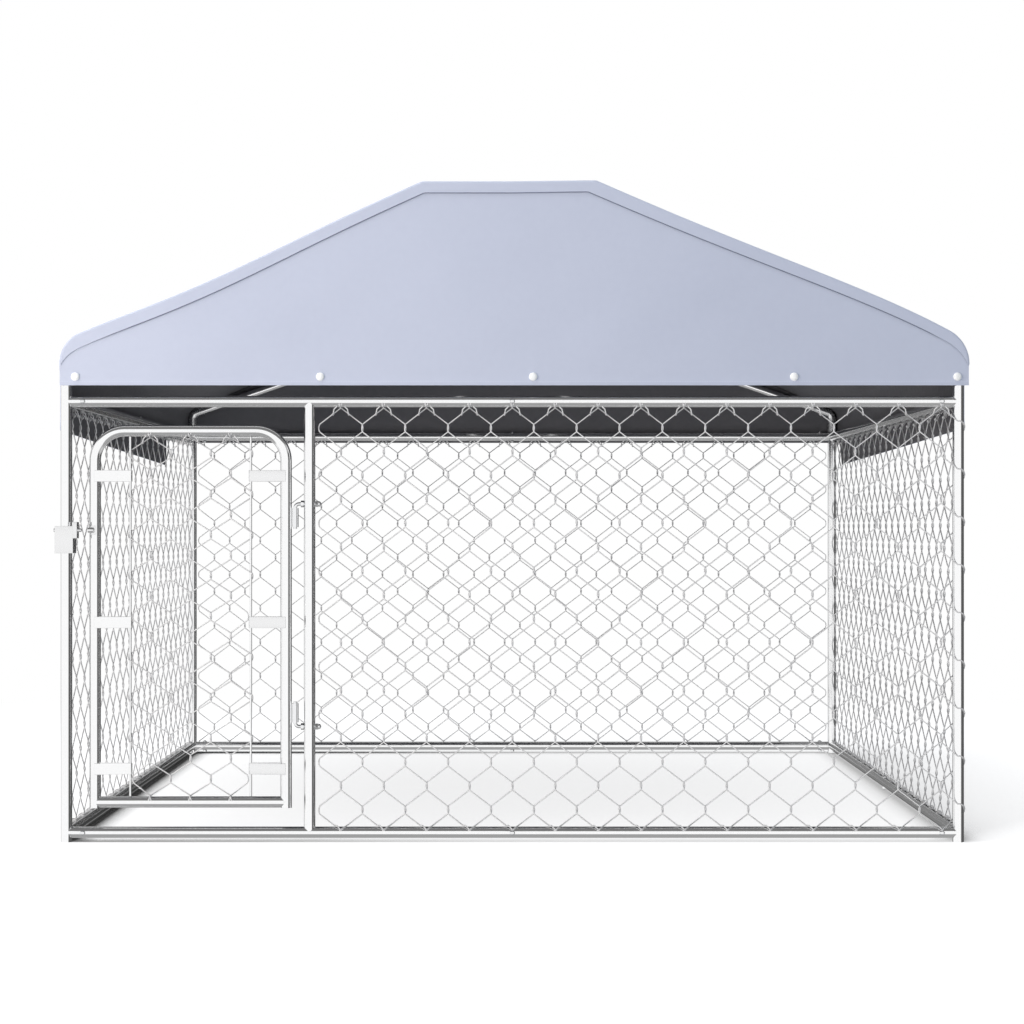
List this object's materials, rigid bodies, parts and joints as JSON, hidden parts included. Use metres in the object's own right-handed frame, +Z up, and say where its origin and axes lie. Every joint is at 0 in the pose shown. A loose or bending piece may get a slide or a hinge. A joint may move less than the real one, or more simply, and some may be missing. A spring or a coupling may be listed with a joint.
{
  "type": "outdoor dog kennel run",
  "caption": "Square outdoor run for dogs: bolted tube frame with wire nets, a hung door with a sliding latch bolt, and a stretched cloth cover on bent roof bows.",
  "frame": {"origin": "on the ground, at the middle of the run", "axes": "+Z up, +X to the right seen from the front, -Y towards the front, where the door is"},
  "size_m": [2.0159, 2.0238, 1.4593],
  "materials": {
    "galvanised_tube": "galvanised",
    "net_wire": "galvanised wire",
    "zinc_hardware": "zinc plated",
    "pale_plate": "pale zinc",
    "cover_cloth": "coated woven sheet",
    "white_stud": "moulded"
  },
  "bodies": {
    "frame": {"post_front_left": "galvanised_tube", "post_front_right": "galvanised_tube", "post_rear_left": "galvanised_tube", "post_rear_right": "galvanised_tube", "door_post": "galvanised_tube", "front_top_rail_left": "galvanised_tube", "front_top_rail_right": "galvanised_tube", "front_bottom_rail_left": "galvanised_tube", "front_bottom_rail_right": "galvanised_tube", "rear_top_rail_left": "galvanised_tube", "rear_top_rail_right": "galvanised_tube", "rear_bottom_rail_left": "galvanised_tube", "rear_bottom_rail_right": "galvanised_tube", "left_top_rail_front": "galvanised_tube", "left_top_rail_rear": "galvanised_tube", "left_bottom_rail_front": "galvanised_tube", "left_bottom_rail_rear": "galvanised_tube", "right_top_rail_front": "galvanised_tube", "right_top_rail_rear": "galvanised_tube", "right_bottom_rail_front": "galvanised_tube", "right_bottom_rail_rear": "galvanised_tube", "rail_bolts": "zinc_hardware", "rail_nuts": "zinc_hardware", "front_elbow_left": "galvanised_tube", "front_elbow_right": "galvanised_tube", "rear_elbow_left": "galvanised_tube", "rear_elbow_right": "galvanised_tube", "front_rafter_left": "galvanised_tube", "front_rafter_right": "galvanised_tube", "rear_rafter_left": "galvanised_tube", "rear_rafter_right": "galvanised_tube", "front_ridge_bow": "galvanised_tube", "rear_ridge_bow": "galvanised_tube", "ridge_tube_left": "galvanised_tube", "ridge_tube_right": "galvanised_tube", "cover_roof": "cover_cloth", "cover_front_panel": "cover_cloth", "cover_rear_panel": "cover_cloth", "cover_studs": "white_stud", "net_front": "net_wire", "net_rear": "net_wire", "net_left": "net_wire", "net_right": "net_wire", "upper_hinge_bolt": "zinc_hardware", "lower_hinge_bolt": "zinc_hardware", "hinge_nuts": "zinc_hardware", "hinge_dome_nuts": "zinc_hardware", "latch_plate": "pale_plate", "latch_screws": "zinc_hardware"},
    "door": {"door_hoop": "galvanised_tube", "door_bottom_rail": "galvanised_tube", "door_net": "net_wire", "door_rods": "net_wire", "door_straps_left": "pale_plate", "door_straps_right": "pale_plate", "upper_hinge_sleeve": "galvanised_tube", "lower_hinge_sleeve": "galvanised_tube", "latch_keeper": "pale_plate", "keeper_screws": "zinc_hardware"},
    "latch": {"latch_bolt": "zinc_hardware"}
  },
  "joints": [
    {"name": "door_swing", "type": "hinge", "parent": "frame", "child": "door", "pos_m": [-0.481, -0.9875, 0.5], "axis": [0, 0, 1], "range_deg": [-100, 100]},
    {"name": "latch_slide", "type": "slide", "parent": "frame", "child": "latch", "axis": [1, 0, 0], "range_m": [0, 0.022]}
  ]
}
